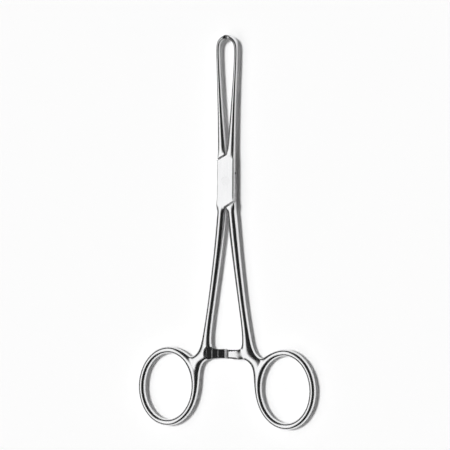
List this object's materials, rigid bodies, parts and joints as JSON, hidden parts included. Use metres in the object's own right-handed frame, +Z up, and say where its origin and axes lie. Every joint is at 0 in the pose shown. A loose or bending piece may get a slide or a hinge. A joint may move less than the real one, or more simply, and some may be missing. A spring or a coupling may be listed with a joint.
{
  "type": "tissue forceps",
  "caption": "Steel tissue forceps with a box lock, slender blades ending in inturned toothed jaws, a ratchet catch and oval finger rings.",
  "frame": {"origin": "on the pin's axis, on the lower flat face of the box lock", "axes": "+Y from the finger rings to the jaws, +X to the right seen from above, +Z up along the pin, out of the lock's upper face"},
  "size_m": [0.0728, 0.1545, 0.006],
  "materials": {
    "polished_steel": "polished",
    "pin_steel": "polished, flush with the lock"
  },
  "bodies": {
    "box": {"box_half": "polished_steel", "lock_pin": "pin_steel"},
    "tongue": {"tongue_half": "polished_steel"}
  },
  "joints": [
    {"name": "lock_pivot", "type": "hinge", "parent": "box", "child": "tongue", "pos_m": [0, 0, 0.0025], "axis": [0, 0, 1], "range_deg": [-1.5, 60]}
  ]
}
